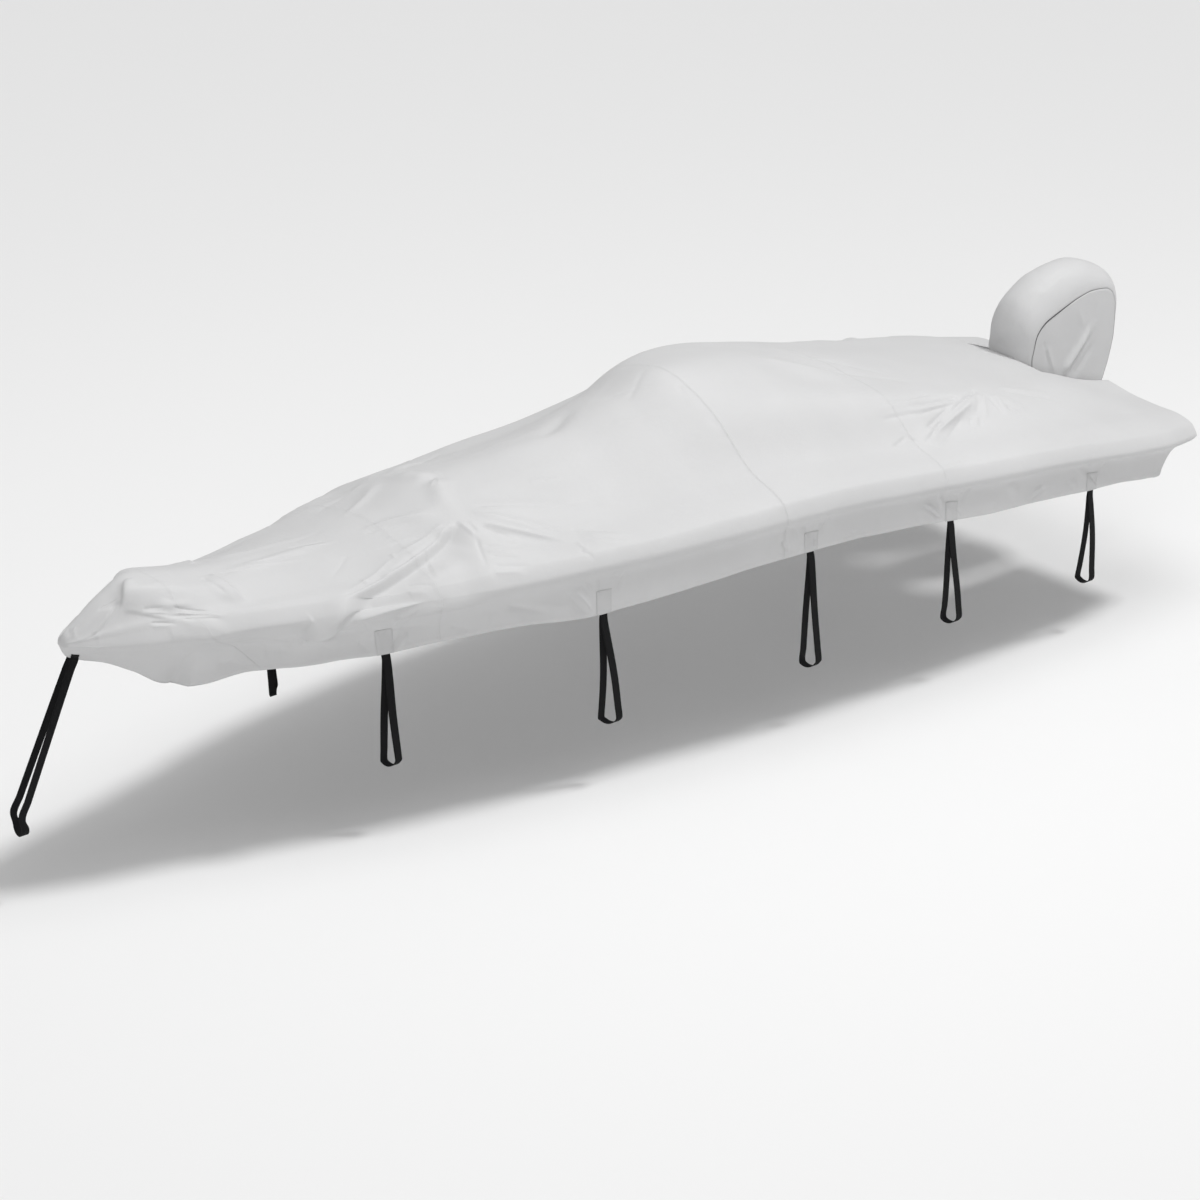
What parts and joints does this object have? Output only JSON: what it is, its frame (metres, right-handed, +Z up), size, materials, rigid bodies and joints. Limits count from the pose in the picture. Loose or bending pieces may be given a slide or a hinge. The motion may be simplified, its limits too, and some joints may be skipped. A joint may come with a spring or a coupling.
{
  "type": "boat cover",
  "caption": "Fitted grey polyester cover draped over a small open boat, with a stern cut-out, a separate engine hood and black webbing tie-down straps",
  "frame": {"origin": "under the highest point of the cover's top, where it rests on what holds it up", "axes": "+Z up, -X towards the bow, -Y to port"},
  "size_m": [6.5282, 1.9944, 1.3705],
  "materials": {
    "cover_cloth": "matt coated polyester",
    "strap_webbing": "matt webbing"
  },
  "bodies": {
    "root": {"nose_panel": "cover_cloth", "fore_panel": "cover_cloth", "mid_panel": "cover_cloth", "aft_panel": "cover_cloth", "stern_panel": "cover_cloth", "hood_band": "cover_cloth", "hood_side_port": "cover_cloth", "hood_side_starboard": "cover_cloth", "patch_port_1": "cover_cloth", "patch_port_2": "cover_cloth", "patch_port_3": "cover_cloth", "patch_port_4": "cover_cloth", "patch_port_5": "cover_cloth", "patch_starboard_1": "cover_cloth", "patch_starboard_2": "cover_cloth", "patch_starboard_3": "cover_cloth", "patch_starboard_4": "cover_cloth", "patch_starboard_5": "cover_cloth", "strap_port_1": "strap_webbing", "strap_port_2": "strap_webbing", "strap_port_3": "strap_webbing", "strap_port_4": "strap_webbing", "strap_port_5": "strap_webbing", "strap_starboard_1": "strap_webbing", "strap_starboard_2": "strap_webbing", "strap_starboard_3": "strap_webbing", "strap_starboard_4": "strap_webbing", "strap_starboard_5": "strap_webbing", "strap_bow": "strap_webbing"}
  },
  "joints": []
}
